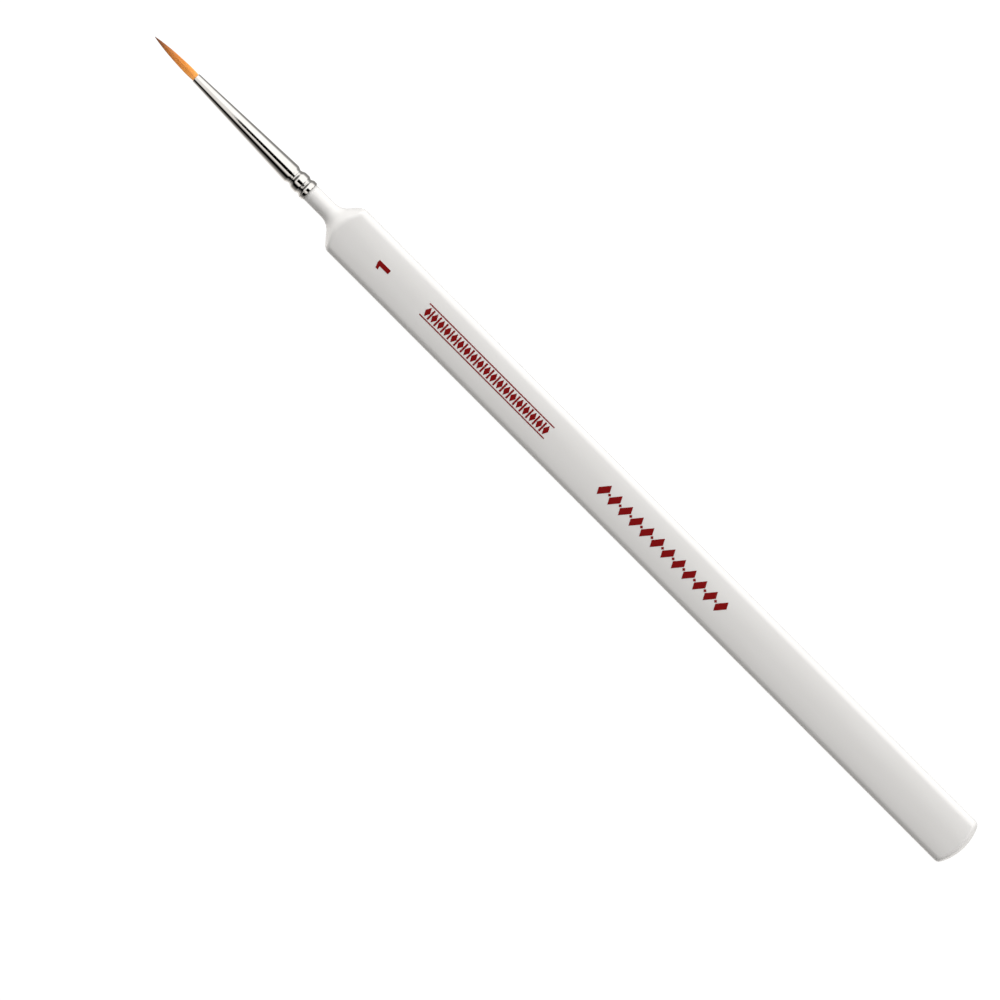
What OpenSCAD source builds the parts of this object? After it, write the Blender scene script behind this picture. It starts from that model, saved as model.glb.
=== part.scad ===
// Fine detail brush: a round pointed tuft in a crimped metal ferrule, on a lacquered three-sided handle.
// The brush lies along X on one side of its handle, with its tip toward -X and Z = 0 under the handle.
// A station is the distance along the brush from the tip of its hair.

/* [Brush] */
// Length from the tip of the hair to the end of the handle
brush_length = 183.3; // [170:0.1:200]
// Station of the ferrule's mouth, which is also the length of the free hair
mouth_station = 9.3; // [8.9:0.05:9.7]
// Station of the ferrule's rear edge
ferrule_end = 35.1; // [35:0.1:35.4]

/* [Hair] */
// Radius of the tuft at its fullest
belly_r = 0.74; // [0.68:0.01:0.76]
// Radius of the tuft where it leaves the ferrule
mouth_hair_r = 0.65; // [0.58:0.01:0.65]
// How long the tuft stays full before it comes to its point
fullness = 0.78; // [0.6:0.02:0.9]
// Length of hair held inside the ferrule
root_length = 10; // [9:0.5:12]
// Radius of the bound root
root_r = 0.74; // [0.7:0.01:0.78]

/* [Ferrule] */
// Outer radius at the mouth
mouth_r = 0.8; // [0.8:0.01:0.84]
// Outer radius where the plain cone ends and the crimps begin
cone_r = 1.64; // [1.6:0.01:1.66]
// Outer radius of the land at the rear, which a tip cap slides over
land_r = 1.75; // [1.74:0.01:1.8]
// Wall at the mouth
mouth_wall = 0.14; // [0.12:0.01:0.14]
// Wall from the end of the cone to the rear
rear_wall = 0.19; // [0.18:0.01:0.2]

/* [Handle] */
// Distance from the axis to each vertex round's centre
vertex_centre = 3.64; // [3.5:0.01:3.75]
// Radius of the rounded vertices
vertex_round = 1.4; // [1.3:0.05:1.5]
// Distance from the axis to the middle of each slightly crowned side
side_distance = 3.55; // [3.5:0.01:3.6]
// Radius of the turned neck
neck_r = 1.54; // [1.5:0.01:1.54]
// Station where the neck starts to flare
flare_station = 39.15; // [38.6:0.05:39.6]
// Radius of the hollow between neck and shoulder
flare_r = 3; // [2.6:0.1:3.2]
// Angle of the shoulder cone from the axis
shoulder_angle = 50; // [48:1:54]
// Radius of the domed end
dome_r = 8.8; // [8:0.1:10]
// How far from the domed end's rim its rounding reaches
rim_round = 1; // [0.6:0.1:1.4]
// Thickness of the lacquer
lacquer = 0.12; // [0.1:0.01:0.15]

/* [Printing] */
// Thickness of the printed ink
ink = 0.03; // [0.02:0.01:0.05]
// Station of the size numeral's middle
numeral_station = 52.1; // [50:0.1:54]
// Height of the size numeral
numeral_height = 2.5; // [2:0.05:2.8]
// Station where the ruled band begins
band_station = 61.4; // [60:0.1:63]
// Length of the ruled band
band_length = 28.1; // [27:0.1:29]
// Station where the row of leaves begins
row_station = 100.9; // [100:0.1:103]
// Length of the row of leaves
row_length = 28.7; // [27:0.1:29]

/* [Hidden] */

$fn = 96;

// Handle section: three crowned sides, each an arc that runs smoothly into the vertex rounds
side_flat = side_distance - vertex_round;
side_centre = (pow(vertex_centre, 2) - pow(side_flat, 2)) / (2 * side_flat - vertex_centre);
side_r = side_centre + side_distance;
side_half = atan(vertex_centre * sin(60) / (vertex_centre * cos(60) + side_centre));
side_steps = 9;
vertex_steps = 12;
printed_side = 150;
// The middle step of the lower side is the flat that the brush rests on
axis_height = side_r * cos(side_half / side_steps) - side_centre;
// The band and the row are printed a little above the middle of the printed side
band_offset = 0.23;
row_offset = 0.1;
// Turning stays just outside the three-sided section along the grip
turning_r = vertex_centre + vertex_round + 0.06;

// Ferrule stations
cone_end = 30.55;
crimp_station = 31.7;
crimp_half = 0.85;
crimp_depth = 0.28;
small_crimp_station = 33.85;
small_crimp_half = 0.58;
small_crimp_depth = 0.22;
land_start = 34.45;
land_end = 34.85;
rear_round = 0.1;
profile_steps = 46;
// A film of glue lies between tenon and ferrule, just clear of both
film_outer = 0.02;
film_inner = 0.05;
tenon_clearance = 0.07;
tenon_tip = 26;
tenon_chamfer = 0.4;
lacquer_start = ferrule_end - 0.15;

// Root of the hair: the adhesive starts behind the mouth and caps the root
root_end = mouth_station + root_length;
adhesive_start = mouth_station + 5.5;
adhesive_end = root_end + 0.8;
adhesive_gap = 0.02;
thread_r = 0.08;
thread_turns = 5;
thread_station = root_end - 1.6;

// The tuft bends at four pivots, level and upright in turn; behind its pivot each part is a round knuckle
// that sits in the part before it
pivot_from_mouth = [1.55, 3.35, 5.05, 6.65];
knuckle_r = [0.86, 0.82, 0.72, 0.58];
knuckle_gap = 0.02;
tuft_steps = 28;
clear_r = 2;

function arc(centre, r, from, to, steps) =
    [for (i = [0:steps]) let (a = from + (to - from) * i / steps) centre + r * [cos(a), sin(a)]];

function along(from, to, steps) = [for (i = [0:steps]) from + (to - from) * i / steps];

function reversed(list) = [for (i = [len(list) - 1:-1:0]) list[i]];

// The points of an arc without its two ends, which the arcs beside it already hold
function inner_points(list) = [for (i = [1:len(list) - 2]) list[i]];

// The smaller of two lengths, rounded over where they are nearly equal
function soft_min(a, b, reach) =
    min(a, b) - reach * pow(max(0, 1 - abs(a - b) / reach), 2) / 4;

// One crowned side of the handle, grown outward
function side_arc(direction, grow) =
    arc(-side_centre * [cos(direction), sin(direction)], side_r + grow,
        direction - side_half, direction + side_half, side_steps);

function vertex_arc(direction, grow) =
    arc(vertex_centre * [cos(direction), sin(direction)], vertex_round + grow,
        direction - 60 + side_half, direction + 60 - side_half, vertex_steps);

function handle_outline(grow) =
    [for (side = [-90, 30, 150]) each concat(side_arc(side, grow), inner_points(vertex_arc(side + 60, grow)))];

// Turned outline of neck, shoulder and dome, as [radius, station]
function turning(start, grow) =
    let (hollow = flare_r - grow,
         cone_r0 = neck_r + flare_r - hollow * cos(shoulder_angle),
         cone_s0 = flare_station + hollow * sin(shoulder_angle),
         dome_start = asin((turning_r + rim_round) / (dome_r + grow)))
    concat([[0, start], [neck_r + grow, start]],
        [for (a = along(0, shoulder_angle, 10))
            [neck_r + flare_r - hollow * cos(a), flare_station + hollow * sin(a)]],
        [[turning_r, cone_s0 + (turning_r - cone_r0) / tan(shoulder_angle)]],
        [for (a = along(dome_start, 0, 22))
            [soft_min((dome_r + grow) * sin(a), turning_r + grow, rim_round),
                brush_length - dome_r + (dome_r + grow) * cos(a)]]);

// A smooth dip of unit depth that is zero past one half width
function dip(distance, half) = abs(distance) < half ? pow(cos(90 * distance / half), 2) : 0;

function ferrule_outer(s) =
    let (cone = mouth_r + (cone_r - mouth_r) * (s - mouth_station) / (cone_end - mouth_station),
         rear = cone_r + (land_r - cone_r) * min(1, (s - cone_end) / (land_start - cone_end)))
    (s <= cone_end ? cone : rear)
        - crimp_depth * dip(s - crimp_station, crimp_half)
        - small_crimp_depth * dip(s - small_crimp_station, small_crimp_half);

function ferrule_inner(s) =
    ferrule_outer(s)
        - (mouth_wall + (rear_wall - mouth_wall) * min(1, (s - mouth_station) / (cone_end - mouth_station)));

crimp_stations = along(cone_end, land_start, profile_steps);
tenon_stations = concat([tenon_tip + tenon_chamfer], crimp_stations, [lacquer_start]);

// Radius of the free tuft at a distance from the mouth
function tuft_r(d) =
    let (u = d / mouth_station)
    belly_r * pow(1 - u * u, fullness) * (1 - (1 - mouth_hair_r / belly_r) * exp(-pow(d / 0.9, 2)));

// Puts a shape whose Z is the station onto the brush's axis
module on_axis() {
    translate([-brush_length / 2, 0, axis_height]) rotate([90, 0, 90]) children();
}

module turned(points) {
    on_axis() rotate_extrude() polygon(points);
}

// Grip, shoulder and neck, grown outward, from a station on the neck
module handle_form(start, grow) {
    on_axis() intersection() {
        rotate_extrude() polygon(turning(start, grow));
        linear_extrude(brush_length + 1) polygon(handle_outline(grow));
    }
}

module handle_core() {
    color("burlywood") union() {
        handle_form(lacquer_start, -lacquer);
        turned(concat([[0, tenon_tip],
                [ferrule_inner(tenon_tip) - tenon_clearance - tenon_chamfer / 2, tenon_tip]],
            [for (s = tenon_stations) [ferrule_inner(s) - tenon_clearance, s]],
            [[0, lacquer_start]]));
    }
}

module lacquer_coat() {
    color("white") difference() {
        handle_form(lacquer_start, 0);
        handle_form(lacquer_start - 1, -lacquer);
    }
}

// Puts a flat motif, drawn with X along the brush and Y across it, into the ink on the printed side
module inked(station) {
    strip = concat(side_arc(printed_side, ink), reversed(side_arc(printed_side, 0)));
    color("darkred") intersection() {
        on_axis() linear_extrude(brush_length) polygon(strip);
        translate([station - brush_length / 2, 0, axis_height]) rotate([printed_side - 90, 0, 0])
            linear_extrude(side_distance + 1) children();
    }
}

// Numeral one, with its head toward the tip of the brush; it sits centred on the printed side
module numeral_one() {
    stem = 0.3 * numeral_height;
    flag = 0.24 * numeral_height;
    top = -numeral_height / 2;
    translate([0, flag / 2]) polygon([[-top, -stem / 2], [-top, stem / 2], [top, stem / 2], [top, -stem / 6],
        [top + 0.14 * numeral_height, -stem / 2 - flag], [top + 0.34 * numeral_height, -stem / 2 - flag],
        [top + 0.27 * numeral_height, -stem / 2]]);
}

module lozenge(length, width) {
    polygon([[-length / 2, 0], [0, -width / 2], [length / 2, 0], [0, width / 2]]);
}

// Two fine rules with uprights and lozenges in turn between them
module ruled_band() {
    count = 19;
    pitch = band_length / count;
    for (side = [-1, 1]) translate([band_length / 2, side * 1.2]) square([band_length, 0.2], center = true);
    for (i = [0:count - 1]) translate([(i + 0.5) * pitch, 0]) {
        lozenge(1, 1.85);
        if (i > 0) translate([-pitch / 2, 0]) square([0.32, 1.85], center = true);
    }
}

// A row of pointed leaves with a small lozenge between each pair
module leaf_row() {
    count = 12;
    pitch = row_length / count;
    for (i = [0:count - 1]) translate([(i + 0.5) * pitch, 0]) {
        polygon([[-0.95, -0.3], [-0.4, -1.35], [0.95, 0.3], [0.4, 1.35]]);
        if (i > 0) translate([-pitch / 2, 0]) lozenge(0.6, 0.6);
    }
}

module size_numeral() {
    inked(numeral_station) numeral_one();
}

module printed_band() {
    inked(band_station) translate([0, band_offset]) ruled_band();
}

module printed_row() {
    inked(row_station) translate([0, row_offset]) leaf_row();
}

module ferrule() {
    lip = mouth_wall / 2;
    lip_centre = [ferrule_outer(mouth_station) - lip, mouth_station + lip];
    color("silver") turned(concat(
        [for (a = along(180, 360, 8)) lip_centre + lip * [cos(a), sin(a)]],
        [for (s = crimp_stations) [ferrule_outer(s), s]],
        [[land_r, land_end]],
        [for (a = along(0, 90, 5))
            [land_r - rear_round * (1 - cos(a)), land_end + (ferrule_end - land_end) * sin(a)]],
        [[ferrule_inner(ferrule_end), ferrule_end]],
        [for (s = reversed(crimp_stations)) [ferrule_inner(s), s]]));
}

module tenon_glue() {
    color("khaki") turned(concat([for (s = tenon_stations) [ferrule_inner(s) - film_outer, s]],
        [for (s = reversed(tenon_stations)) [ferrule_inner(s) - film_inner, s]]));
}

// Hair inside the ferrule: it fills the cone near the mouth and is straight behind that
module root_form() {
    fill_end = mouth_station + 3.5;
    turned(concat([[0, mouth_station], [mouth_hair_r, mouth_station], [root_r, fill_end]],
        [[root_r, root_end], [0, root_end]]));
}

// Close turns of thread, pressed into each other and onto the root
module binding_form() {
    pitch = 1.8 * thread_r;
    centre_r = root_r + 0.8 * thread_r;
    on_axis() translate([0, 0, thread_station]) rotate_extrude() {
        for (i = [0:thread_turns - 1]) translate([centre_r, i * pitch]) circle(thread_r);
        translate([root_r, 0]) square([centre_r - root_r, (thread_turns - 1) * pitch]);
    }
}

module root_adhesive() {
    color("goldenrod") difference() {
        turned([[0, adhesive_start], [ferrule_inner(adhesive_start) - adhesive_gap, adhesive_start],
            [ferrule_inner(adhesive_end) - adhesive_gap, adhesive_end], [0, adhesive_end]]);
        root_form();
        binding_form();
    }
}

module binding_thread() {
    color("ivory") difference() {
        binding_form();
        root_form();
    }
}

module tuft_form() {
    turned(concat([[0, 0]],
        [for (i = [1:tuft_steps]) let (d = mouth_station * sin(90 - 90 * i / tuft_steps)) [tuft_r(d), mouth_station - d]],
        [[0, mouth_station]]));
}

// Everything from one pivot's knuckle toward the tip; even pivots are level, odd ones upright
module beyond_pivot(i, gap) {
    translate([mouth_station - pivot_from_mouth[i] - brush_length / 2, 0, axis_height]) union() {
        rotate([i % 2 == 0 ? 90 : 0, 0, 0])
            cylinder(r = knuckle_r[i] + gap, h = 2 * clear_r, center = true);
        rotate([0, -90, 0]) cylinder(r = clear_r, h = mouth_station);
    }
}

module hair_root() {
    color("sienna") union() {
        root_form();
        difference() {
            tuft_form();
            beyond_pivot(0, knuckle_gap);
        }
    }
}

module tuft_part(i) {
    color(i < 3 ? "peru" : "saddlebrown") difference() {
        intersection() {
            tuft_form();
            beyond_pivot(i, 0);
        }
        if (i < len(knuckle_r) - 1) beyond_pivot(i + 1, knuckle_gap);
    }
}

module tuft_heel() {
    tuft_part(0);
}

module tuft_belly() {
    tuft_part(1);
}

module tuft_taper() {
    tuft_part(2);
}

module tuft_point() {
    tuft_part(3);
}

handle_core();
lacquer_coat();
size_numeral();
printed_band();
printed_row();
ferrule();
tenon_glue();
root_adhesive();
binding_thread();
hair_root();
tuft_heel();
tuft_belly();
tuft_taper();
tuft_point();
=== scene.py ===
"""Fine detail brush: visual model, materials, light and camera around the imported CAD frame."""
import math

import bpy
import numpy as np
from mathutils import Matrix, Vector


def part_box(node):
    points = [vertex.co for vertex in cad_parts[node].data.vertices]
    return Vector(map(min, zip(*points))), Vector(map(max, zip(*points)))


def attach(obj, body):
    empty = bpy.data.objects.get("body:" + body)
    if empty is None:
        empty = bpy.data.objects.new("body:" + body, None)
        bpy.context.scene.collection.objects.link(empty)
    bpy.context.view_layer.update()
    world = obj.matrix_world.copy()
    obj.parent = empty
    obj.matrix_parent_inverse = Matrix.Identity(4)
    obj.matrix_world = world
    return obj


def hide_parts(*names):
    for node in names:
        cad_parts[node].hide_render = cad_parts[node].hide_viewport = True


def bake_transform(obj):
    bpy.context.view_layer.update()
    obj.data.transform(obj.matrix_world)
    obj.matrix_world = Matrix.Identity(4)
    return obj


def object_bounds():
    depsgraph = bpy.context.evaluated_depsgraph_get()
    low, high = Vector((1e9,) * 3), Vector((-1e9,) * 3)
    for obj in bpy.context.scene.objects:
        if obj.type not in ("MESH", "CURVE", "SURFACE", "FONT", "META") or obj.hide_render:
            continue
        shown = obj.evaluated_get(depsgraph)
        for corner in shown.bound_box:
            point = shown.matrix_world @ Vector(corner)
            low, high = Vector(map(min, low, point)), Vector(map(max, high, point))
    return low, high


MM = 0.001

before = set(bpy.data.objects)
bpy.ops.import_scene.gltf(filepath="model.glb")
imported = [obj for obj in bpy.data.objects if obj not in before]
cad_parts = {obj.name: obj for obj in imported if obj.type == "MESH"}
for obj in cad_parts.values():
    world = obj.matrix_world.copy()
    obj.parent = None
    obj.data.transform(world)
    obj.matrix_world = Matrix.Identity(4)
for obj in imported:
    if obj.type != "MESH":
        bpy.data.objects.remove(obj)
cad_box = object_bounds()

# ---- places from the frame ----
TIP_X = cad_box[0][0]
LENGTH = (cad_box[1][0] - TIP_X) / MM
FERRULE_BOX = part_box("ferrule")
MOUTH = (FERRULE_BOX[0][0] - TIP_X) / MM
FERRULE_END = (FERRULE_BOX[1][0] - TIP_X) / MM
AXIS_Z = (FERRULE_BOX[0][2] + FERRULE_BOX[1][2]) / 2
ROOT_END = (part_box("hair_root")[1][0] - TIP_X) / MM
LACQUER_START = (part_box("lacquer_coat")[0][0] - TIP_X) / MM

# ---- handle, in mm from the axis and from the tip ----
VERTEX_CENTRE = 3.64
VERTEX_ROUND = 1.4
SIDE_DISTANCE = 3.55
NECK_R = 1.54
FLARE_STATION = 39.15
FLARE_R = 3.0
SHOULDER_ANGLE = math.radians(50)
DOME_R = 8.8
LACQUER = 0.12
# How far from an edge its rounding reaches, and how many halvings find the surface there
EDGE_REACH = 0.45
HALVINGS = 40
SHOULDER_END = 45.5
SHOULDER_STEP = 0.08
DOME_DEPTH = 2.3
DOME_RINGS = 64
GRIP_RINGS = 60

# ---- ferrule ----
MOUTH_R = 0.80
CONE_R = 1.64
LAND_R = 1.75
MOUTH_WALL = 0.14
REAR_WALL = 0.19
CONE_END = 30.55
LAND_START = 34.45
LAND_END = 34.85
REAR_ROUND = 0.1
CRIMPS = ((31.7, 0.85, 0.28), (33.85, 0.58, 0.22))
CREASE_HALF = 0.06
CREASE_DEPTH = 0.05
CRIMP_STEP = 0.03
FERRULE_SIDES = 192

# ---- hair ----
BELLY_R = 0.74
MOUTH_HAIR_R = 0.65
FULLNESS = 0.78
ROOT_R = 0.74
ROOT_FILL = 3.5
SWELL_LENGTH = 0.9
HAIR_GROWTH = 1.6
HAIR_SEED = 41
# Each layer of hairs: how many, its inner and outer share of the radius, and how short they may fall
HAIR_LAYERS = ((150, 0.90, 1.0, 0.0, 0.55), (140, 0.70, 0.90, 0.2, 1.2), (120, 0.35, 0.70, 0.5, 2.2))
HAIR_BASE_R = 0.034
HAIR_TIP_R = 0.007
HAIR_SIDES = 6
CORE_SHARE = 0.93
CORE_RIDGES = 44
# Stations where the pieces are cut, and each pair of bodies with the start and end stations given for its bend,
# which nothing here blends over
CUTS = (6.85, 5.1, 3.45)
BENDS = (("root", "heel", 8.35, 7.15), ("heel", "belly", 6.45, 5.45),
         ("belly", "taper", 4.7, 3.8), ("taper", "point", 3.05, 2.25))
HAIR_PIECES = (("tuft_base_hairs", ("hair_root", "tuft_heel")), ("tuft_belly_hairs", ("tuft_belly",)),
               ("tuft_taper_hairs", ("tuft_taper",)), ("tuft_point_hairs", ("tuft_point",)))


def place(station, y, z):
    """A point at a station, y and z mm from the brush's axis, in the row frame in metres."""
    return (TIP_X + station * MM, y * MM, AXIS_Z + z * MM)


def new_object(name, points, faces, smooth=True):
    mesh = bpy.data.meshes.new(name)
    mesh.from_pydata([tuple(p) for p in points], [], [tuple(f) for f in faces])
    mesh.validate()
    if smooth:
        mesh.shade_smooth()
    mesh.update()
    piece = bpy.data.objects.new(name, mesh)
    bpy.context.scene.collection.objects.link(piece)
    return piece


def ring_faces(rings, sides, start=0, wrap_rings=False):
    """Quads between rings that follow each other, facing outward when rings run toward +X."""
    faces = []
    last = rings if wrap_rings else rings - 1
    for i in range(last):
        a = start + i * sides
        b = start + (i + 1) % rings * sides
        for j in range(sides):
            k = (j + 1) % sides
            faces.append((a + j, a + k, b + k, b + j))
    return faces


# ---- node trees ----
class Nodes:
    """What materials and the studio share: setting or linking a socket, and mixing colours."""

    def put(self, socket, value):
        if isinstance(value, bpy.types.NodeSocket):
            self.tree.links.new(value, socket)
        else:
            socket.default_value = value

    def mix(self, share, a, b, blend="MIX"):
        made = self.node("ShaderNodeMix", {"data_type": "RGBA", "blend_type": blend})
        self.put(made.inputs[0], share)
        self.put(made.inputs[6], a)
        self.put(made.inputs[7], b)
        return made.outputs[2]


# ---- materials ----
class Material(Nodes):
    """A small helper that builds a node material round one Principled shader."""

    def __init__(self, name, **sockets):
        self.material = bpy.data.materials.new(name)
        self.material.use_nodes = True
        self.tree = self.material.node_tree
        self.shader = self.tree.nodes["Principled BSDF"]
        for socket, value in sockets.items():
            self.shader.inputs[socket.replace("_", " ")].default_value = value

    def node(self, kind, settings=None, **inputs):
        made = self.tree.nodes.new(kind)
        for key, value in (settings or {}).items():
            setattr(made, key, value)
        for key, value in inputs.items():
            self.put(made.inputs[key.replace("_", " ")], value)
        return made

    def coordinates(self, scale):
        """Object coordinates in mm, stretched by scale."""
        place_node = self.node("ShaderNodeTexCoord")
        mapping = self.node("ShaderNodeMapping", Vector=place_node.outputs["Object"])
        mapping.inputs["Scale"].default_value = [s / MM for s in scale]
        return mapping.outputs["Vector"]

    def noise(self, scale, detail=3.0, vector=None):
        """Noise whose lumps are 1/scale mm across along X, Y and Z."""
        made = self.node("ShaderNodeTexNoise", Vector=vector or self.coordinates(scale), Scale=1.0, Detail=detail)
        return made.outputs["Fac"]

    def spread(self, value, low, high, from_low=0.3, from_high=0.7):
        made = self.node("ShaderNodeMapRange", Value=value)
        for key, number in (("From Min", from_low), ("From Max", from_high), ("To Min", low), ("To Max", high)):
            made.inputs[key].default_value = number
        return made.outputs["Result"]

    def ramp(self, value, stops, interpolation="LINEAR"):
        made = self.node("ShaderNodeValToRGB", Fac=value)
        made.color_ramp.interpolation = interpolation
        elements = made.color_ramp.elements
        while len(elements) < len(stops):
            elements.new(0.5)
        for element, (position, colour) in zip(elements, stops):
            element.position = position
            element.color = (*colour, 1.0)
        return made.outputs["Color"]

    def base(self, colour):
        self.put(self.shader.inputs["Base Color"], colour)

    def roughness(self, value):
        self.put(self.shader.inputs["Roughness"], value)

    def bump(self, height, distance_mm, strength=1.0):
        made = self.node("ShaderNodeBump", Strength=strength, Distance=distance_mm * MM, Height=height)
        self.put(self.shader.inputs["Normal"], made.outputs["Normal"])


def lacquer_material():
    m = Material("white_gloss_lacquer", Specular_IOR_Level=0.3, Coat_Weight=0.1, Coat_Roughness=0.06)
    tone = m.noise((0.05, 0.25, 0.25), detail=4.0)
    m.base(m.ramp(tone, ((0.3, (0.860, 0.842, 0.820)), (0.7, (0.880, 0.865, 0.843)))))
    m.roughness(m.spread(m.noise((0.4, 0.9, 0.9)), 0.10, 0.17))
    m.bump(m.noise((0.55, 1.3, 1.3), detail=2.0), 0.006)
    return m.material


def nickel_material():
    m = Material("polished_nickel_plate", Metallic=1.0)
    m.base(m.ramp(m.noise((0.5, 0.5, 0.5)), ((0.3, (0.74, 0.715, 0.68)), (0.7, (0.80, 0.78, 0.75)))))
    grain = m.noise((14.0, 0.6, 0.6), detail=4.0)
    m.roughness(m.spread(grain, 0.03, 0.07))
    m.bump(grain, 0.0004)
    return m.material


def ink_material():
    m = Material("dark_red_ink", Specular_IOR_Level=0.2)
    tone = m.noise((6.0, 6.0, 6.0), detail=4.0)
    m.base(m.ramp(tone, ((0.3, (0.22, 0.0005, 0.001)), (0.7, (0.27, 0.001, 0.002)))))
    m.roughness(m.spread(tone, 0.30, 0.45))
    return m.material


def wood_material():
    m = Material("bare_hardwood")
    grain = m.noise((0.15, 3.5, 3.5), detail=5.0)
    m.base(m.ramp(grain, ((0.3, (0.52, 0.35, 0.19)), (0.5, (0.68, 0.50, 0.31)), (0.7, (0.76, 0.60, 0.40)))))
    m.roughness(m.spread(grain, 0.55, 0.75))
    m.bump(grain, 0.02)
    return m.material


def glue_material():
    m = Material("dried_wood_glue")
    tone = m.noise((2.0, 2.0, 2.0))
    m.base(m.ramp(tone, ((0.3, (0.70, 0.58, 0.34)), (0.7, (0.83, 0.74, 0.50)))))
    m.roughness(m.spread(tone, 0.35, 0.55))
    return m.material


def resin_material():
    m = Material("cured_amber_resin", Coat_Weight=0.2)
    tone = m.noise((1.5, 1.5, 1.5))
    m.base(m.ramp(tone, ((0.3, (0.42, 0.20, 0.05)), (0.7, (0.60, 0.34, 0.10)))))
    m.roughness(m.spread(tone, 0.15, 0.30))
    return m.material


def thread_material():
    m = Material("waxed_thread")
    twist = m.noise((9.0, 3.0, 3.0), detail=4.0)
    m.base(m.ramp(twist, ((0.3, (0.62, 0.56, 0.44)), (0.7, (0.84, 0.80, 0.70)))))
    m.roughness(m.spread(twist, 0.6, 0.8))
    m.bump(twist, 0.02)
    return m.material


def hair_material():
    """Fine hair that glows a little by itself: painted light, an emission in the hair's own colour that stands in
    for light soaking through it, with a soft sheen on top.
    """
    # The emission strength is painted light: a glow the hair gives off though it is no lamp.
    m = Material("golden_brown_hair", Specular_IOR_Level=0.6, Emission_Strength=0.36,
                 Sheen_Weight=0.35, Sheen_Roughness=0.4, Sheen_Tint=(1.0, 0.85, 0.70, 1.0))
    along = m.node("ShaderNodeAttribute", {"attribute_name": "along"}).outputs["Fac"]
    tone = m.node("ShaderNodeAttribute", {"attribute_name": "tone"}).outputs["Fac"]
    length_colour = m.ramp(along, ((0.0, (0.16, 0.045, 0.008)), (0.15, (0.27, 0.080, 0.012)),
                                   (0.30, (0.46, 0.150, 0.018)), (0.50, (0.66, 0.230, 0.030)),
                                   (0.75, (0.80, 0.320, 0.045)), (1.0, (0.90, 0.420, 0.090))))
    streak = m.noise((0.35, 16.0, 16.0), detail=4.0)
    shade = m.ramp(m.spread(streak, 0.0, 1.0), ((0.0, (0.86, 0.82, 0.78)), (1.0, (1.05, 1.05, 1.05))))
    strand = m.ramp(tone, ((0.0, (0.60, 0.52, 0.42)), (0.3, (0.86, 0.82, 0.76)), (1.0, (1.08, 1.10, 1.14))))
    shaded = m.mix(1.0, length_colour, shade, "MULTIPLY")
    colour = m.mix(1.0, shaded, strand, "MULTIPLY")
    m.base(colour)
    # The hair's colour also goes into its emission, so the hair glows with painted light.
    m.put(m.shader.inputs["Emission Color"], colour)
    m.roughness(m.spread(streak, 0.36, 0.48))
    return m.material


# ---- handle ----
def arc_points(centre, radius, start, end, count):
    """Points of an arc at its start and on toward its end, which belongs to the next arc."""
    angles = start + (end - start) * np.arange(count) / count
    return np.stack([centre[0] + radius * np.cos(angles), centre[1] + radius * np.sin(angles)], axis=1)


def handle_outline(grow):
    """The three-sided section as Y and Z from the axis: crowned sides that run smoothly into round vertices."""
    flat = SIDE_DISTANCE - VERTEX_ROUND
    side_centre = (VERTEX_CENTRE ** 2 - flat ** 2) / (2 * flat - VERTEX_CENTRE)
    side_r = side_centre + SIDE_DISTANCE
    third = math.radians(60)
    half = math.atan2(VERTEX_CENTRE * math.sin(third), VERTEX_CENTRE * math.cos(third) + side_centre)
    parts = []
    for degrees in (-90, 30, 150):
        side = math.radians(degrees)
        vertex = side + third
        behind = (-side_centre * math.cos(side), -side_centre * math.sin(side))
        corner = (VERTEX_CENTRE * math.cos(vertex), VERTEX_CENTRE * math.sin(vertex))
        parts.append(arc_points(behind, side_r + grow, side - half, side + half, 24))
        parts.append(arc_points(corner, VERTEX_ROUND + grow, side + half, vertex + third - half, 22))
    return np.concatenate(parts)


def turned_profile(station, grow):
    """Radius and slope of the turned neck, hollow and cone at a station, before the section cuts in."""
    hollow = FLARE_R - grow
    slope = SHOULDER_ANGLE
    cone_start = FLARE_STATION + hollow * math.sin(slope)
    if station <= FLARE_STATION:
        return NECK_R + grow, 0.0
    if station <= cone_start:
        along = station - FLARE_STATION
        return NECK_R + FLARE_R - math.sqrt(hollow ** 2 - along ** 2), math.asin(along / hollow)
    cone_r = NECK_R + FLARE_R - hollow * math.cos(slope)
    return cone_r + (station - cone_start) * math.tan(slope), slope


def beyond_end(radius, station, grow):
    """Distance outside the turned form at a radius: from the dome's sphere, or square to the shoulder."""
    from_centre = station - (LENGTH - DOME_R)
    if station > LENGTH / 2:
        return np.hypot(radius, max(from_centre, 0.0)) - (DOME_R + grow)
    turned, slope = turned_profile(station, grow)
    return (radius - turned) * math.cos(slope)


def handle_ring(reach, station, grow):
    """Radius all round at a station, where the three sides meet the turned form in an edge rounded over."""
    low, high = np.zeros_like(reach), reach.copy()
    for _ in range(HALVINGS):
        middle = (low + high) / 2
        a, b = middle - reach, beyond_end(middle, station, grow)
        outside = np.maximum(a, b) + EDGE_REACH * np.maximum(0, 1 - np.abs(a - b) / EDGE_REACH) ** 2 / 4 > 0
        low, high = np.where(outside, low, middle), np.where(outside, middle, high)
    return (low + high) / 2


def handle_rings(grow):
    """Rings of the handle's form from the neck to the domed end, as an array of stations and one of (Y, Z) rings."""
    outline = handle_outline(grow)
    reach = np.hypot(outline[:, 0], outline[:, 1])
    direction = outline / reach[:, None]
    neck = np.linspace(LACQUER_START, FLARE_STATION, 5)[:-1]
    shoulder = np.arange(FLARE_STATION, SHOULDER_END, SHOULDER_STEP)
    dome_angles = np.linspace(math.acos((DOME_R - DOME_DEPTH) / DOME_R), 0, DOME_RINGS)
    dome = LENGTH - DOME_R + (DOME_R + grow) * np.cos(dome_angles)
    grip = np.linspace(SHOULDER_END, dome[0], GRIP_RINGS)[:-1]
    stations = np.concatenate([neck, shoulder, grip, dome])
    return stations, [direction * handle_ring(reach, station, grow)[:, None] for station in stations]


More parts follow.
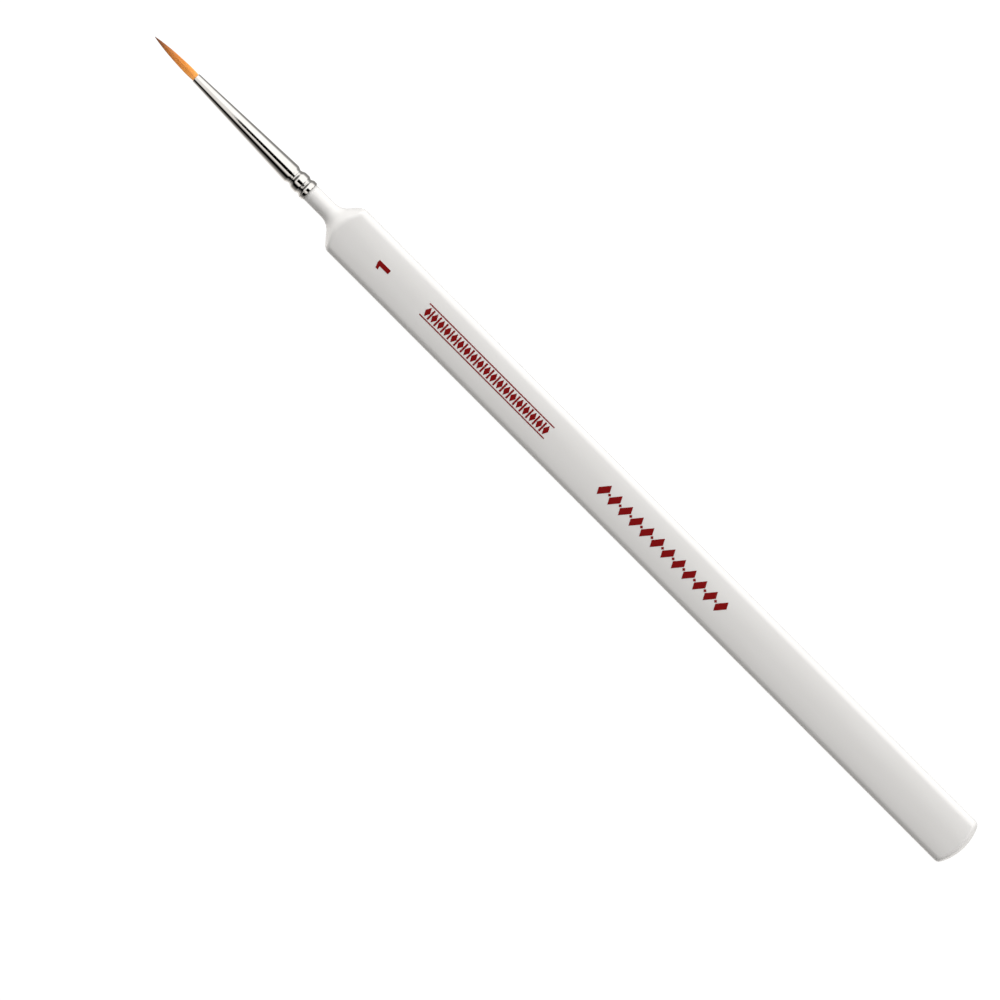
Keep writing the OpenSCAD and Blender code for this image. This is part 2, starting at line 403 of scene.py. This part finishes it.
def handle_shell():
    """The lacquer coat as a closed shell: the outer form, its rim at the ferrule, and the inner form."""
    points, faces = [], []
    for grow, outward in ((0.0, True), (-LACQUER, False)):
        stations, rings = handle_rings(grow)
        sides = len(rings[0])
        start = len(points)
        for station, ring in zip(stations[:-1], rings[:-1]):
            points.extend(place(station, y, z) for y, z in ring)
        skin = ring_faces(len(stations) - 1, sides, start)
        pole = len(points)
        points.append(place(stations[-1], 0, 0))
        last = start + (len(stations) - 2) * sides
        skin.extend((last + j, last + (j + 1) % sides, pole) for j in range(sides))
        if not outward:
            skin = [tuple(reversed(f)) for f in skin]
        faces.extend(skin)
        if outward:
            outer_start = start
        else:
            faces.extend((outer_start + (j + 1) % sides, outer_start + j, start + j, start + (j + 1) % sides)
                         for j in range(sides))
    piece = new_object("handle_shell", points, faces)
    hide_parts("lacquer_coat")
    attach(piece, "root")
    piece.data.materials.append(lacquer_material())


# ---- ferrule ----
def ferrule_outer(station):
    cone = MOUTH_R + (CONE_R - MOUTH_R) * (station - MOUTH) / (CONE_END - MOUTH)
    rear = CONE_R + (LAND_R - CONE_R) * min(1, (station - CONE_END) / (LAND_START - CONE_END))
    radius = cone if station <= CONE_END else rear
    for middle, half, depth in CRIMPS:
        away = abs(station - middle)
        if away < half:
            radius -= depth * math.cos(math.pi / 2 * away / half) ** 2
    return radius


def ferrule_wall(station):
    return MOUTH_WALL + (REAR_WALL - MOUTH_WALL) * min(1, (station - MOUTH) / (CONE_END - MOUTH))


def crease(station):
    """A fine V in the bottom of each crimp."""
    return sum(CREASE_DEPTH * max(0, 1 - abs(station - middle) / CREASE_HALF) for middle, _, _ in CRIMPS)


def ferrule_tube():
    lip = MOUTH_WALL / 2
    lip_r = MOUTH_R - lip
    cone = np.linspace(MOUTH + 0.15, CONE_END, 24)
    crimp = np.arange(CONE_END + CRIMP_STEP, LAND_START, CRIMP_STEP)
    profile = [(MOUTH + lip + lip * math.sin(a), lip_r + lip * math.cos(a))
               for a in np.linspace(math.pi, 2 * math.pi, 13)]
    profile += [(s, ferrule_outer(s) - crease(s)) for s in (*cone, *crimp)]
    profile += [(s, LAND_R) for s in (LAND_START, LAND_START + 0.1, LAND_END - 0.1, LAND_END)]
    profile += [(LAND_END + (FERRULE_END - LAND_END) * math.sin(a), LAND_R - REAR_ROUND * (1 - math.cos(a)))
                for a in np.linspace(math.pi / 12, math.pi / 2, 6)]
    profile += [(FERRULE_END, LAND_R - REAR_WALL)]
    profile += [(s, ferrule_outer(s) - ferrule_wall(s)) for s in (*crimp[::-2], *cone[::-1])]
    angles = np.linspace(0, 2 * math.pi, FERRULE_SIDES, endpoint=False)
    points = [place(s, r * math.cos(a), r * math.sin(a)) for s, r in profile for a in angles]
    piece = new_object("ferrule_tube", points, ring_faces(len(profile), FERRULE_SIDES, wrap_rings=True))
    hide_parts("ferrule")
    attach(piece, "root")
    piece.data.materials.append(nickel_material())


# ---- hair ----
def tuft_radius(station):
    """Radius of the tuft at a station: free hair outside the mouth, root inside the ferrule."""
    if station >= MOUTH:
        return MOUTH_HAIR_R + (ROOT_R - MOUTH_HAIR_R) * min(1, (station - MOUTH) / ROOT_FILL)
    away = MOUTH - station
    taper = max(0.0, 1 - (away / MOUTH) ** 2) ** FULLNESS
    return BELLY_R * taper * (1 - (1 - MOUTH_HAIR_R / BELLY_R) * math.exp(-(away / SWELL_LENGTH) ** 2))


class HairMesh:
    """Collects closed tubes for one hair piece, with each point's place along the hair and its tone."""

    def __init__(self):
        self.points, self.faces, self.along, self.tone = [], [], [], []

    def tube(self, centres, radii, tone):
        """A closed tube along X through the centres (station, y, z), each with its radius or ring of radii."""
        start = len(self.points)
        sides = len(radii[0]) if hasattr(radii[0], "__len__") else HAIR_SIDES
        angles = np.linspace(0, 2 * math.pi, sides, endpoint=False)
        for (station, y, z), radius in zip(centres, radii):
            ys = y + np.asarray(radius) * np.cos(angles)
            zs = z + np.asarray(radius) * np.sin(angles)
            self.points.extend(place(station, a, b) for a, b in zip(ys, zs))
            self.along.extend([min(1.2, station / MOUTH)] * sides)
            self.tone.extend([tone] * sides)
        rings = len(centres)
        self.faces.extend(ring_faces(rings, sides, start))
        self.faces.append(tuple(start + sides - 1 - j for j in range(sides)))
        self.faces.append(tuple(start + (rings - 1) * sides + j for j in range(sides)))

    def build(self, name):
        piece = new_object(name, self.points, self.faces)
        mesh = piece.data
        for key, values in (("along", self.along), ("tone", self.tone)):
            mesh.attributes.new(key, "FLOAT", "POINT").data.foreach_set("value", np.array(values, dtype=np.float32))
        sharpen_caps(mesh)
        return piece


def sharpen_caps(mesh):
    """Flat caps with a sharp rim, so that a tube cut in two still shades as one."""
    sharp = mesh.attributes.new("sharp_edge", "BOOLEAN", "EDGE")
    flags = [False] * len(mesh.edges)
    edge_of = {tuple(sorted(e.vertices)): e.index for e in mesh.edges}
    for face in mesh.polygons:
        if len(face.vertices) > 4:
            face.use_smooth = False
            ring = list(face.vertices)
            for a, b in zip(ring, ring[1:] + ring[:1]):
                flags[edge_of[tuple(sorted((a, b)))]] = True
    sharp.data.foreach_set("value", flags)


def hair_stations():
    """Stations of the hairs' rings from tip to root, with one at each cut."""
    free = MOUTH * (1 - np.sin(np.linspace(math.pi / 2, 0, 19)))
    return np.unique(np.round(np.concatenate([free, CUTS, [MOUTH + 1.5, MOUTH + ROOT_FILL, ROOT_END]]), 4))


def hairs():
    """Every hair as (start station, centre and radius functions of the station, tone)."""
    random = np.random.default_rng(HAIR_SEED)
    made = []
    for count, inner, outer, least_short, most_short in HAIR_LAYERS:
        for i in range(count):
            made.append({
                "angle": 2 * math.pi * (i + 0.6 * random.random()) / count,
                "share": inner + (outer - inner) * random.random(),
                "start": least_short + (most_short - least_short) * random.random() ** 2.2,
                "thick": 0.8 + 0.4 * random.random(),
                "tone": float(np.clip(random.normal(0.55, 0.24), 0, 1)),
                "sway": random.normal(0, 0.05, 2),
                "phase": 2 * math.pi * random.random(2),
                "lift": random.normal(0, 0.012),
            })
    return made


def hair_centre(hair, station):
    """Where a hair runs at a station: it keeps its share of the tuft's radius and wanders a little."""
    radius = tuft_radius(station)
    free = max(0.0, (MOUTH - station) / MOUTH)
    angle = hair["angle"] + hair["sway"][0] * math.sin(0.7 * station + hair["phase"][0]) \
        + hair["sway"][1] * math.sin(1.6 * station + hair["phase"][1])
    away = max(0.0, hair["share"] * (radius - HAIR_BASE_R * 0.6) + hair["lift"] * free)
    return (station, away * math.cos(angle), away * math.sin(angle))


def hair_radius(hair, station):
    """A hair's radius: full over the belly and fine at its own tip."""
    from_tip = max(0.0, station - hair["start"])
    grown = 1 - math.exp(-from_tip / HAIR_GROWTH)
    crowd = min(1.0, 0.35 + tuft_radius(station) / BELLY_R)
    return hair["thick"] * (HAIR_TIP_R + (HAIR_BASE_R - HAIR_TIP_R) * grown) * crowd


def hair_pieces():
    """The tuft in four pieces, cut where the bodies between them are rigid."""
    stations = hair_stations()
    all_hairs = hairs()
    ridge = np.random.default_rng(HAIR_SEED + 1).random(CORE_RIDGES * 2)
    material = hair_material()
    bounds = (ROOT_END, *CUTS, 0.0)
    for (name, nodes), (body_a, body_b, start, end), high, low in zip(HAIR_PIECES, BENDS, bounds, bounds[1:]):
        mesh = HairMesh()
        here = [s for s in stations if low <= s <= high]
        core = [s for s in here if s > 0.05]
        # The core takes a low tone (0.15), darker than most hairs: painted shade in the gaps between the hairs.
        mesh.tube([(s, 0, 0) for s in core],
                  [CORE_SHARE * tuft_radius(s) * (1 - 0.05 * ridge) for s in core], 0.15)
        for hair in all_hairs:
            if hair["start"] >= high - 0.05:
                continue
            own = [s for s in here if s > hair["start"] + 0.02]
            if hair["start"] > low:
                own = [hair["start"], *own]
            if len(own) < 2:
                continue
            mesh.tube([hair_centre(hair, s) for s in own], [hair_radius(hair, s) for s in own], hair["tone"])
        piece = mesh.build(name)
        piece.data.materials.append(material)
        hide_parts(*nodes)
        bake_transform(piece)


# ---- CAD nodes that still show ----
def dress_nodes():
    looks = {
        "handle_core": wood_material(), "tenon_glue": glue_material(), "root_adhesive": resin_material(),
        "binding_thread": thread_material()}
    ink = ink_material()
    for node in ("size_numeral", "printed_band", "printed_row"):
        looks[node] = ink
    for node, material in looks.items():
        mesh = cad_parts[node].data
        mesh.materials.clear()
        mesh.materials.append(material)


# ---- studio ----
CAMERA_ELEVATION = math.radians(37.5)
CAMERA_ROLL = math.radians(45.06)
CAMERA_DISTANCE = 1.111
CAMERA_LENS = 250
TARGET_X = -0.16 * MM
TARGET_RISE = 13.285 * MM
FLOOR_HALF = 20.0
FLOOR_GAP = 0.02 * MM


def camera():
    """A long lens from the front and above, rolled so that the brush lies along the picture's diagonal."""
    e, roll = CAMERA_ELEVATION, CAMERA_ROLL
    up = Vector((0, math.sin(e), math.cos(e)))
    back = Vector((0, -math.cos(e), math.sin(e)))
    right = math.cos(roll) * Vector((1, 0, 0)) + math.sin(roll) * up
    top = -math.sin(roll) * Vector((1, 0, 0)) + math.cos(roll) * up
    target = Vector((TARGET_X, 0, AXIS_Z)) - TARGET_RISE * up
    data = bpy.data.cameras.new("camera")
    data.lens = CAMERA_LENS
    data.sensor_width = 36
    data.clip_start = 0.01
    data.clip_end = 100
    made = bpy.data.objects.new("camera", data)
    made.matrix_world = Matrix.Translation(target + CAMERA_DISTANCE * back) @ Matrix(
        (right, top, back)).transposed().to_4x4()
    bpy.context.scene.collection.objects.link(made)
    bpy.context.scene.camera = made


def floor():
    """A wide pale floor that mostly glows, so that it is white with a faint contact shadow."""
    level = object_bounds()[0][2] - FLOOR_GAP
    corners = [(x * FLOOR_HALF, y * FLOOR_HALF, level) for x, y in ((-1, -1), (1, -1), (1, 1), (-1, 1))]
    made = new_object("studio_floor", corners, [(0, 1, 2, 3)], smooth=False)
    m = Material("pale_floor", Base_Color=(0.10, 0.10, 0.10, 1), Roughness=1.0, Specular_IOR_Level=0.0,
                 Emission_Color=(1, 1, 1, 1), Emission_Strength=0.95)
    made.data.materials.append(m.material)
    made.visible_diffuse = False
    made.visible_glossy = False


# Panels round the brush's axis: name, where each starts and ends in degrees (0 behind, 90 above, 180 in front)
# and its brightness. Soft ones light things, and the others are what bright metal mirrors.
SOFT_PANELS = (("floor behind", -90, -80, 0.9), ("back wall", -10, 35, 0.3), ("overhead box", 80, 120, 1.65),
               ("dark front", 150, 225, 0.0), ("floor in front", 260, 270, 0.8))
MIRROR_PANELS = (("floor behind", -60, -40, 0.9), ("back wall", -15, 35, 0.3), ("overhead box", 60, 120, 1.35),
                 ("front card", 135, 178, 0.95), ("dark floor edge", 195, 220, 0.0),
                 ("floor in front", 260, 270, 0.4))
# The strength that a colour of 1 stands for, and the directions that are not warm
BRIGHTEST = 1.75
WARM = (1.0, 0.97, 0.94)
COOL_SPAN = (20, 140)
# Soft light added off each end, and where along X mirrors begin and end to see dimmer air
TIP_LIGHT = 1.0
END_LIGHT = 0.3
MIRRORED_REACH = (0.66, 0.84)
MIRRORED_ENDS = 0.12
# The black card: its direction and span in degrees, and its distance and ends in metres
FLAG_DIRECTION = 145
FLAG_SPAN = 32
FLAG_DISTANCE = 0.15
FLAG_X = (-0.095, 0.15)


class Studio(Nodes):
    """The world: one brightness round the axis for soft light, one for mirrors, and white behind everything."""

    def __init__(self):
        made = bpy.data.worlds.new("studio")
        made.use_nodes = True
        bpy.context.scene.world = made
        self.tree = made.node_tree
        self.parts = self.node("ShaderNodeSeparateXYZ", None, self.node("ShaderNodeTexCoord").outputs["Generated"])
        turn = self.math("ARCTAN2", self.parts.outputs["Z"], self.parts.outputs["Y"])
        self.share = self.math("FRACT", self.math("MULTIPLY_ADD", turn, 1 / (2 * math.pi), 0.25))
        path = self.node("ShaderNodeLightPath").outputs
        lit = self.mix(path["Is Diffuse Ray"], self.mirrored(), self.soft_light())
        white = (1 / BRIGHTEST,) * 3 + (1,)
        background = self.tree.nodes["Background"]
        self.tree.links.new(self.mix(path["Is Camera Ray"], lit, white), background.inputs["Color"])
        background.inputs["Strength"].default_value = BRIGHTEST

    def node(self, kind, settings=None, *inputs):
        made = self.tree.nodes.new(kind)
        for key, value in (settings or {}).items():
            setattr(made, key, value)
        for socket, value in zip(made.inputs, inputs):
            self.put(socket, value)
        return made

    def math(self, operation, *inputs):
        return self.node("ShaderNodeMath", {"operation": operation}, *inputs).outputs[0]

    def around(self, panels):
        """Brightness by direction round the axis: it fades evenly between panels, warm in front and below."""
        stops = [(edge, value) for _, start, end, value in panels for edge in (start, end)]
        made = self.node("ShaderNodeValToRGB", None, self.share)
        elements = made.color_ramp.elements
        while len(elements) < len(stops):
            elements.new(0.5)
        for element, (degrees, value) in zip(elements, stops):
            tint = (1, 1, 1) if COOL_SPAN[0] < degrees < COOL_SPAN[1] else WARM
            element.position = (degrees + 90) / 360
            element.color = (*(value / BRIGHTEST * t for t in tint), 1)
        return made.outputs[0]

    def soft_light(self):
        """The soft light round the axis, and more of it off both ends of the brush."""
        x = self.parts.outputs["X"]
        level = self.node("ShaderNodeMapRange", None, x, -1.0, 1.0, TIP_LIGHT / BRIGHTEST,
                          END_LIGHT / BRIGHTEST).outputs["Result"]
        ends = self.math("MULTIPLY", self.math("MULTIPLY", x, x), level)
        return self.mix(1.0, self.around(SOFT_PANELS), ends, "ADD")

    def mirrored(self):
        """What mirrors see: softboxes beside the brush, and dimmer air off both of its ends."""
        away = self.math("ABSOLUTE", self.parts.outputs["X"])
        level = self.node("ShaderNodeMapRange", {"interpolation_type": "SMOOTHSTEP"}, away,
                          *MIRRORED_REACH, 1.0, MIRRORED_ENDS).outputs["Result"]
        return self.mix(1.0, self.around(MIRROR_PANELS), level, "MULTIPLY")


def flag():
    """A black card in front of and above the grip and ferrule, which only mirrors see."""
    middle = math.radians(FLAG_DIRECTION)
    half = math.radians(FLAG_SPAN / 2)
    corners = []
    for angle, x in ((-half, FLAG_X[0]), (half, FLAG_X[0]), (half, FLAG_X[1]), (-half, FLAG_X[1])):
        reach = FLAG_DISTANCE / math.cos(half)
        corners.append((x, reach * math.cos(middle + angle), AXIS_Z + reach * math.sin(middle + angle)))
    made = new_object("studio_flag", corners, [(0, 1, 2, 3)], smooth=False)
    m = Material("black_card", Base_Color=(0, 0, 0, 1), Roughness=1.0, Specular_IOR_Level=0.0)
    made.data.materials.append(m.material)
    made.visible_camera = False
    made.visible_diffuse = False
    made.visible_shadow = False
    made.visible_transmission = False


handle_shell()
ferrule_tube()
hair_pieces()
dress_nodes()
camera()
floor()
Studio()
flag()
bpy.context.scene.view_settings.view_transform = "Standard"
